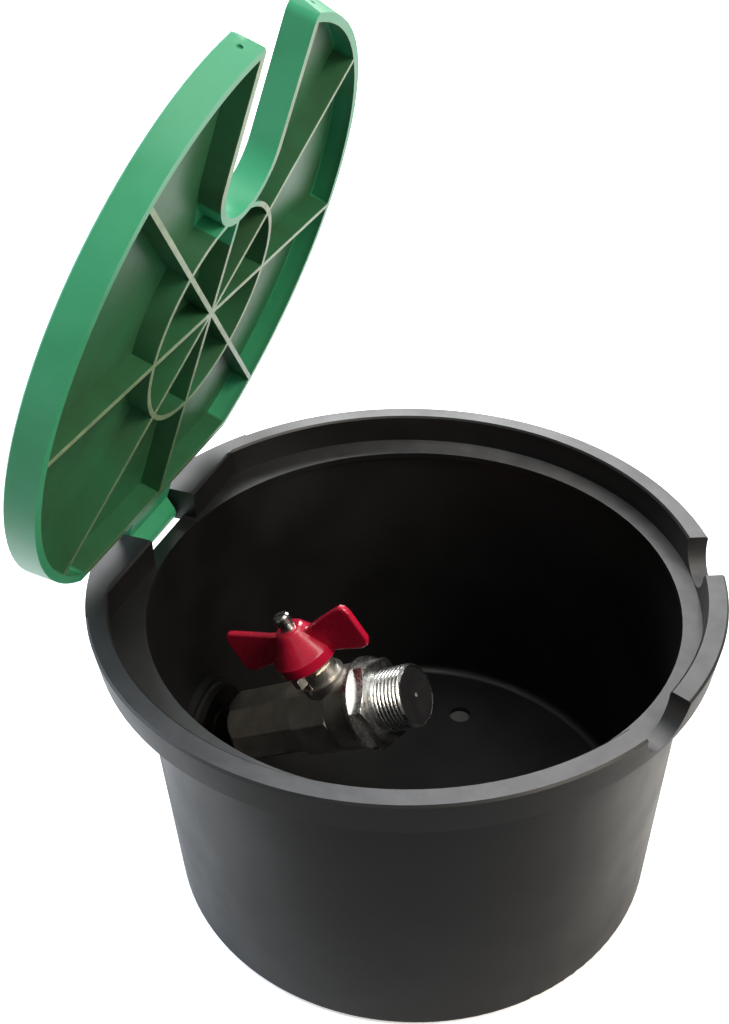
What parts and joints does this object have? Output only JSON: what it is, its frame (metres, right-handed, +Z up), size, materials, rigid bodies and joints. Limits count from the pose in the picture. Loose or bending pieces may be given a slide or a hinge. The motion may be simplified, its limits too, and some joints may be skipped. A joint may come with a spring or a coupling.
{
  "type": "underground water outlet",
  "caption": "Round garden box with a hinged slotted lid, holding a ball valve with a butterfly handle and a leaning threaded outlet.",
  "frame": {"origin": "middle of the box's foot, on the plane it stands on", "axes": "+Z up; +X from the lid's hinge towards the lid's slot, the way the outlet points; the hinge line is along Y"},
  "size_m": [0.2387, 0.24, 0.3398],
  "materials": {
    "black_box": "moulded black polypropylene",
    "green_lid": "moulded green polypropylene",
    "bright_chrome": "chrome-plated brass",
    "nickel_body": "nickel-plated brass casting",
    "red_handle": "red lacquered die casting",
    "brass": "turned brass",
    "steel": "zinc-plated steel",
    "seat_white": "white fluoropolymer",
    "black_rubber": "moulded rubber",
    "black_plug": "moulded polyethylene"
  },
  "bodies": {
    "root": {"box_tub": "black_box", "hinge_pin": "steel", "valve_body": "nickel_body", "outlet_end": "bright_chrome", "body_joint_ring": "black_rubber", "inlet_seat_ring": "seat_white", "outlet_seat_ring": "seat_white", "stem_thrust_washer": "seat_white", "gland_packing": "seat_white", "gland_nut": "brass", "inlet_adaptor": "brass", "inner_gasket": "black_rubber", "outer_washer": "black_box", "wall_locknut": "brass"},
    "lid": {"lid": "green_lid"},
    "handle": {"handle": "red_handle", "stem": "brass", "stem_rings": "black_rubber", "ball": "bright_chrome", "handle_washer": "steel", "handle_screw": "steel"},
    "plug": {"outlet_plug": "black_plug"}
  },
  "joints": [
    {"name": "lid_hinge", "type": "hinge", "parent": "root", "child": "lid", "pos_m": [-0.1157, 0, 0.1295], "axis": [0, -1, 0], "range_deg": [-69.7, 40]},
    {"name": "handle_turn", "type": "hinge", "parent": "root", "child": "handle", "pos_m": [-0.03003, 0, 0.05841], "axis": [0.4833, 0.0785, -0.8719], "range_deg": [0, 90]},
    {"name": "plug_pull", "type": "slide", "parent": "root", "child": "plug", "axis": [0.8746, 0, 0.4848], "range_m": [0, 0.03]}
  ]
}
